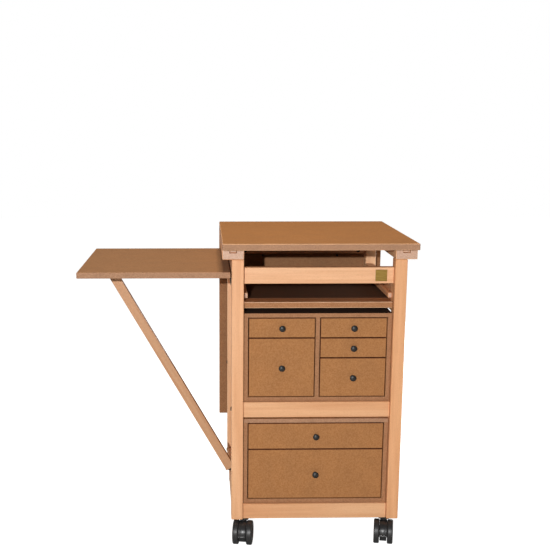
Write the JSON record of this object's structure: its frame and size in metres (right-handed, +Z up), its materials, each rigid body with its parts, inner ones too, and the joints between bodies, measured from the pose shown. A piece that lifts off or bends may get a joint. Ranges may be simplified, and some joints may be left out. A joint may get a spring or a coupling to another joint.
{
  "type": "work table with drawers",
  "caption": "Narrow mobile work table in a beech frame on casters, with a sliding top, hanging rear leaf, propped side flap, pull-out shelf and drawer cabinets.",
  "frame": {"origin": "on the floor, under the middle of the whole table's box with the side flap up and the leaf hanging", "axes": "+X to the right across the drawer fronts, +Y to the rear leaf, +Z up"},
  "size_m": [0.7878, 0.5316, 0.741],
  "materials": {
    "beech": "oiled beech, straight grained",
    "mdf": "raw brown fibreboard, waxed",
    "black_plastic": "moulded black plastic",
    "steel": "dull zinc plate",
    "brass": "lacquered, satin"
  },
  "bodies": {
    "table": {"post_front_left": "beech", "post_front_right": "beech", "post_rear_left": "beech", "post_rear_right": "beech", "front_rail_lower": "beech", "front_rail_middle": "beech", "front_rail_upper": "beech", "rear_rail_lower": "beech", "rear_rail_middle": "beech", "rear_rail_upper": "beech", "side_rail_lower_left": "beech", "side_rail_lower_right": "beech", "side_rail_upper_left": "beech", "side_rail_upper_right": "beech", "flap_rail": "beech", "bearer_left": "beech", "bearer_right": "beech", "badge_plate": "brass", "shelf_runner_lower_left": "beech", "shelf_runner_lower_right": "beech", "shelf_runner_upper_left": "beech", "shelf_runner_upper_right": "beech", "upper_cabinet": "mdf", "lower_cabinet": "mdf", "flap_hinge_fixed_leaf": "steel", "strut_bracket": "steel"},
    "sliding_top": {"table_top": "mdf", "top_tongue_left": "beech", "top_tongue_right": "beech", "leaf_hinge_left_plate": "steel", "leaf_hinge_right_plate": "steel"},
    "leaf": {"rear_leaf": "mdf", "leaf_hinge_left_strap": "steel", "leaf_hinge_right_strap": "steel"},
    "flap": {"side_flap": "mdf", "flap_hinge_moving_leaf": "steel"},
    "prop": {"strut": "beech"},
    "shelf": {"pull_out_shelf": "mdf"},
    "drawer_upper_left_shallow_box": {"drawer_upper_left_shallow": "mdf", "drawer_upper_left_shallow_knob": "black_plastic"},
    "drawer_upper_left_deep_box": {"drawer_upper_left_deep": "mdf", "drawer_upper_left_deep_knob": "black_plastic"},
    "drawer_upper_right_top_box": {"drawer_upper_right_top": "mdf", "drawer_upper_right_top_knob": "black_plastic"},
    "drawer_upper_right_second_box": {"drawer_upper_right_second": "mdf", "drawer_upper_right_second_knob": "black_plastic"},
    "drawer_upper_right_deep_box": {"drawer_upper_right_deep": "mdf", "drawer_upper_right_deep_knob": "black_plastic"},
    "drawer_lower_shallow_box": {"drawer_lower_shallow": "mdf", "drawer_lower_shallow_knob": "black_plastic"},
    "drawer_lower_deep_box": {"drawer_lower_deep": "mdf", "drawer_lower_deep_knob": "black_plastic"},
    "caster_front_left_swivel": {"caster_front_left": "black_plastic"},
    "caster_front_left_wheel_pair": {"caster_front_left_wheels": "black_plastic"},
    "caster_front_right_swivel": {"caster_front_right": "black_plastic"},
    "caster_front_right_wheel_pair": {"caster_front_right_wheels": "black_plastic"},
    "caster_rear_left_swivel": {"caster_rear_left": "black_plastic"},
    "caster_rear_left_wheel_pair": {"caster_rear_left_wheels": "black_plastic"},
    "caster_rear_right_swivel": {"caster_rear_right": "black_plastic"},
    "caster_rear_right_wheel_pair": {"caster_rear_right_wheels": "black_plastic"}
  },
  "joints": [
    {"name": "top_slide", "type": "slide", "parent": "table", "child": "sliding_top", "axis": [0, 1, 0], "range_m": [0, 0.2]},
    {"name": "leaf_lift", "type": "hinge", "parent": "sliding_top", "child": "leaf", "pos_m": [0.1689, 0.248, 0.7232], "axis": [1, 0, 0], "range_deg": [0, 90]},
    {"name": "flap_fold", "type": "hinge", "parent": "table", "child": "flap", "pos_m": [-0.0369, -0.0013, 0.6536], "axis": [0, -1, 0], "range_deg": [0, 55]},
    {"name": "strut_swing", "type": "hinge", "parent": "table", "child": "prop", "pos_m": [-0.0371, -0.0013, 0.1265], "axis": [0, -1, 0], "range_deg": [0, 66.5]},
    {"name": "shelf_slide", "type": "slide", "parent": "table", "child": "shelf", "axis": [0, -1, 0], "range_m": [0, 0.3]},
    {"name": "drawer_upper_left_shallow_slide", "type": "slide", "parent": "table", "child": "drawer_upper_left_shallow_box", "axis": [0, -1, 0], "range_m": [0, 0.33]},
    {"name": "drawer_upper_left_deep_slide", "type": "slide", "parent": "table", "child": "drawer_upper_left_deep_box", "axis": [0, -1, 0], "range_m": [0, 0.33]},
    {"name": "drawer_upper_right_top_slide", "type": "slide", "parent": "table", "child": "drawer_upper_right_top_box", "axis": [0, -1, 0], "range_m": [0, 0.33]},
    {"name": "drawer_upper_right_second_slide", "type": "slide", "parent": "table", "child": "drawer_upper_right_second_box", "axis": [0, -1, 0], "range_m": [0, 0.33]},
    {"name": "drawer_upper_right_deep_slide", "type": "slide", "parent": "table", "child": "drawer_upper_right_deep_box", "axis": [0, -1, 0], "range_m": [0, 0.33]},
    {"name": "drawer_lower_shallow_slide", "type": "slide", "parent": "table", "child": "drawer_lower_shallow_box", "axis": [0, -1, 0], "range_m": [0, 0.33]},
    {"name": "drawer_lower_deep_slide", "type": "slide", "parent": "table", "child": "drawer_lower_deep_box", "axis": [0, -1, 0], "range_m": [0, 0.33]},
    {"name": "caster_front_left_turn", "type": "hinge", "parent": "table", "child": "caster_front_left_swivel", "pos_m": [-0.0036, -0.2203, 0.065], "axis": [0, 0, 1], "continuous": true},
    {"name": "caster_front_left_roll", "type": "hinge", "parent": "caster_front_left_swivel", "child": "caster_front_left_wheel_pair", "pos_m": [-0.00556, -0.23265, 0.03], "axis": [0.9877, -0.1564, 0], "continuous": true},
    {"name": "caster_front_right_turn", "type": "hinge", "parent": "table", "child": "caster_front_right_swivel", "pos_m": [0.3414, -0.2203, 0.065], "axis": [0, 0, 1], "continuous": true},
    {"name": "caster_front_right_roll", "type": "hinge", "parent": "caster_front_right_swivel", "child": "caster_front_right_wheel_pair", "pos_m": [0.33912, -0.23259, 0.03], "axis": [0.9833, -0.1822, 0], "continuous": true},
    {"name": "caster_rear_left_turn", "type": "hinge", "parent": "table", "child": "caster_rear_left_swivel", "pos_m": [-0.0036, 0.2177, 0.065], "axis": [0, 0, 1], "continuous": true},
    {"name": "caster_rear_left_roll", "type": "hinge", "parent": "caster_rear_left_swivel", "child": "caster_rear_left_wheel_pair", "pos_m": [-0.00447, 0.20523, 0.03], "axis": [0.9976, -0.0698, 0], "continuous": true},
    {"name": "caster_rear_right_turn", "type": "hinge", "parent": "table", "child": "caster_rear_right_swivel", "pos_m": [0.3414, 0.2177, 0.065], "axis": [0, 0, 1], "continuous": true},
    {"name": "caster_rear_right_roll", "type": "hinge", "parent": "caster_rear_right_swivel", "child": "caster_rear_right_wheel_pair", "pos_m": [0.33944, 0.20535, 0.03], "axis": [0.9877, -0.1564, 0], "continuous": true}
  ],
  "couplings": [
    {"joint": "strut_swing", "follows": "flap_fold", "ratio": 1.2}
  ]
}
